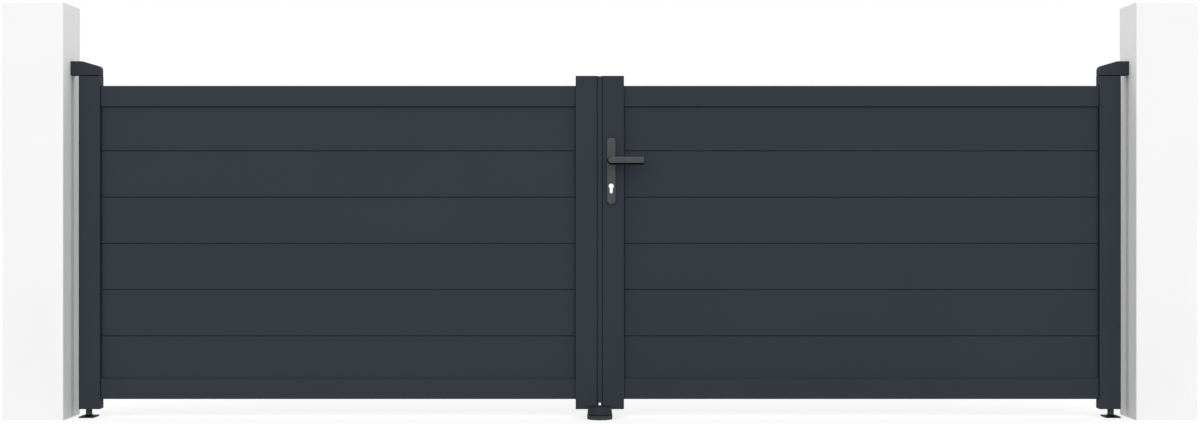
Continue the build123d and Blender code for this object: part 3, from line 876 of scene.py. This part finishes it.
# %% The liner's outline and thickness
GRIP_CORNER_MM = 2.5
CORNER_STEP = 30         # degrees between two points of the tip's corners
HEEL_STEP = 10           # degrees between two points of the heel
TIP = 0                  # a direction that the outline faces, in degrees, and so are the next five
TOP = 90
HEEL = 180
BELOW = 270
BELOW_TIP = 330
TIP_AGAIN = 360
LINER_MM = ((TIP, 1.1), (TOP, 0.7), (HEEL, 3.2), (BELOW, 5.6), (BELOW_TIP, 1.5), (TIP_AGAIN, 1.1))


def grip_outline(length, half):
    """The grip's outline as points of arcs: the arc's middle and radius, and the direction faced."""
    tip = length - half - GRIP_CORNER_MM
    edge = half - GRIP_CORNER_MM
    lower = [(tip, -edge, GRIP_CORNER_MM, faced) for faced in range(BELOW, TIP_AGAIN + 1, CORNER_STEP)]
    upper = [(tip, edge, GRIP_CORNER_MM, faced) for faced in range(TIP, TOP + 1, CORNER_STEP)]
    heel = [(0, 0, half, faced) for faced in range(TOP, BELOW + 1, HEEL_STEP)]
    return lower + upper + heel


def liner_thickness(faced):
    """The liner's thickness towards a direction, blended between the two that are listed beside it."""
    for (a, thick_a), (b, thick_b) in zip(LINER_MM, LINER_MM[1:]):
        if faced <= b:
            return thick_a + (thick_b - thick_a) * (faced - a) / (b - a)


print("the liner is", round(liner_thickness((HEEL + BELOW) / 2), 2), "mm thick at its lower heel")

# %% Lever liners of painted shade
GRIP_THICKNESS_MM = 12.0
LINER_SETBACK_MM = 1.2   # from the grip's face to the liner's front edge
LINER_SEAT_MM = 0.4      # how far the liner reaches into the grip
LINER_EDGE_MM = 0.6      # the bevel of its outer edges
LINER_LEAST_MM = 0.1     # what a bevel leaves where the liner is thin

# Black nylon for the bracket pads, and for the levers' liners, whose black is painted shade under the grips.
black_nylon_and_shade = moulded_nylon("black_moulded_nylon_and_shade", "#060607", "#0A0A0B", specular=0.03)


def liner_ring(outline, depth, less):
    """The outline at one depth: pushed out by the thickness less so much, or for None in to the seat."""
    loop = []
    for x, z, radius, faced in outline:
        push = -LINER_SEAT_MM if less is None else max(liner_thickness(faced) - less, LINER_LEAST_MM)
        turn = math.radians(faced)
        far = radius + push
        loop.append(Vector((x + far * math.cos(turn), depth, z + far * math.sin(turn))))
    return loop


def liner(node, inward):
    """The liner of one lever, a black rim of painted shade. Inward is the direction along Y from the grip's
    face to the leaf.
    """
    low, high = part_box(node)
    half = (high.z - low.z) / 2 / MM
    outline = grip_outline((high.x - low.x) / MM, half)
    front, back, bevel = LINER_SETBACK_MM, GRIP_THICKNESS_MM, LINER_EDGE_MM
    profile = ((front, None), (front, bevel), (front + bevel, 0),
               (back - bevel, 0), (back, bevel), (back, None))
    rings = [liner_ring(outline, depth * inward, less) for depth, less in profile]
    face_y = low.y if inward > 0 else high.y
    build = bmesh.new()
    skin(build, rings, Matrix.Translation((low.x + half * MM, face_y, (low.z + high.z) / 2)), closed=True)
    return build


for face, inward in (("street", 1), ("drive", -1)):
    add_piece(f"{face}_lever_shade_liner", liner(f"{face}_lever", inward), black_nylon_and_shade, "lever")

# %% [markdown]
# Slide pads under the brackets
#
# A thin black nylon pad under each top bracket keeps the stile's head from grinding on it and keeps rain out
# of the pivot. It fills the dark joint between the two and leaves a hair of play above the stile. It rides on
# the posts, as the bracket does, so the stile turns under it. Its section is the cap's own outline, drawn in
# a little, because that is what it covers.

# %% Bracket pads
PAD_INSET_MM = 0.6       # from the cap's sides to the pad's
PAD_CORNER_MM = 4.0
PAD_PLAY_MM = 0.2        # from the cap's top to the pad
PAD_SEAT_MM = 0.05       # how far the pad is pressed on the bracket
BRACKET_GAP_MM = 2.5     # from the cap's top to the bracket

for side in SIDES:
    inset = Vector((PAD_INSET_MM, PAD_INSET_MM, 0)) * MM
    cap_low, cap_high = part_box(f"{side}_hinge_stile_head")
    low, high = cap_low + inset, cap_high - inset
    corners = [(low.x, low.y), (high.x, low.y), (high.x, high.y), (low.x, high.y)]
    section = rounded([Vector((x, y, high.z)) / MM for x, y in corners], PAD_CORNER_MM)
    levels = (PAD_PLAY_MM, BRACKET_GAP_MM + PAD_SEAT_MM)
    build = bmesh.new()
    skin(build, [[point + Vector((0, 0, rise)) for point in section] for rise in levels], Matrix.Identity(4))
    add_piece(f"{side}_bracket_pad", build, black_nylon_and_shade, "posts")
